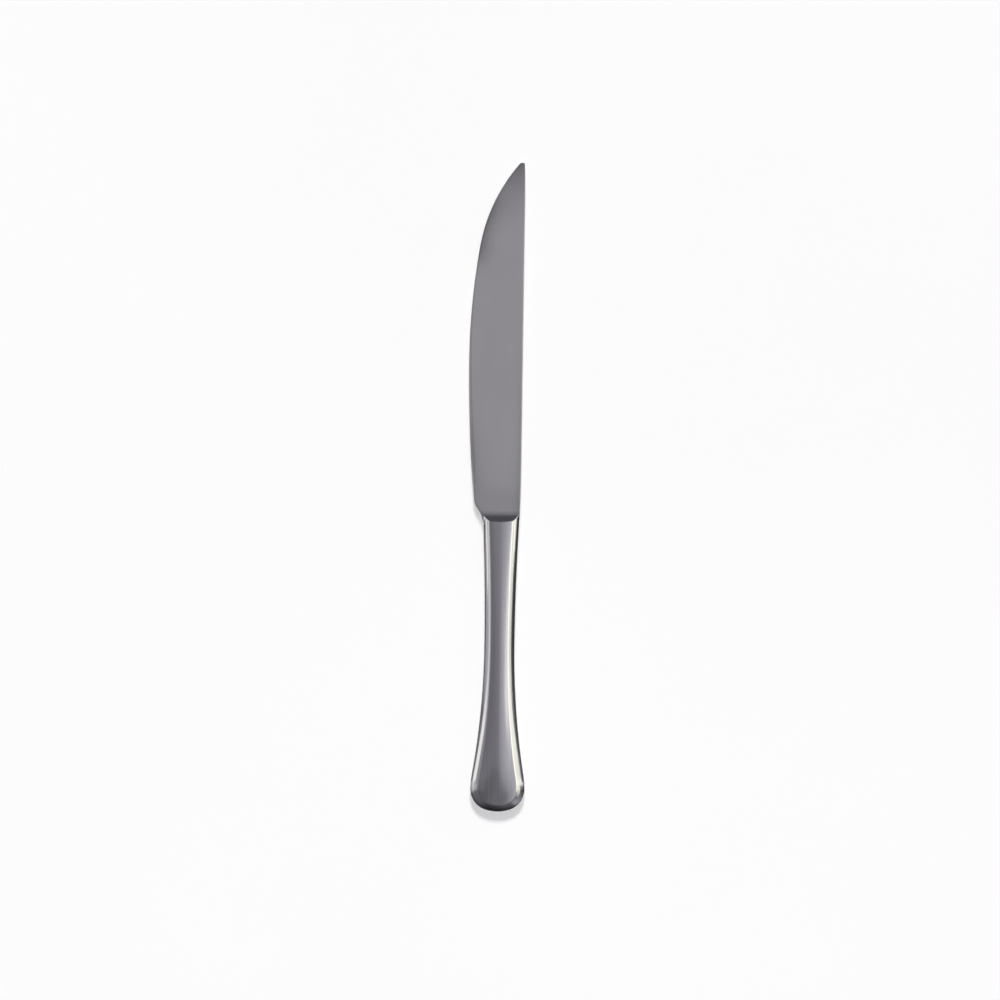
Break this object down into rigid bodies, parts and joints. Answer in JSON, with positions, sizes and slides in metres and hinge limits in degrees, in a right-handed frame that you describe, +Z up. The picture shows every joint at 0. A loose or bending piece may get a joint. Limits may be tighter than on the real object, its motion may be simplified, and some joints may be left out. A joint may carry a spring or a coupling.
{
  "type": "steak knife",
  "caption": "All-steel steak knife with a straight spine, smooth curved edge, bevelled bolster and a hollow waisted handle that ends in a rounded pear-shaped butt.",
  "frame": {"origin": "middle of the underside of the knife's box, as it lies flat on a table", "axes": "+Y along the knife from butt to tip, -X towards the cutting edge, +X towards the spine, +Z up through the thickness"},
  "size_m": [0.0224, 0.2352, 0.0052],
  "materials": {
    "blade_steel": "satin-ground stainless steel, polished on the bolster",
    "handle_steel": "mirror-polished stainless steel with fine handling marks",
    "braze": "silver brazing alloy, ground and polished flush",
    "cement": "dull, fine-grained resin cement"
  },
  "bodies": {
    "root": {"blade": "blade_steel", "handle_front_shell": "handle_steel", "handle_back_shell": "handle_steel", "seam_braze": "braze", "mouth_solder": "braze", "tang_cement": "cement"}
  },
  "joints": []
}
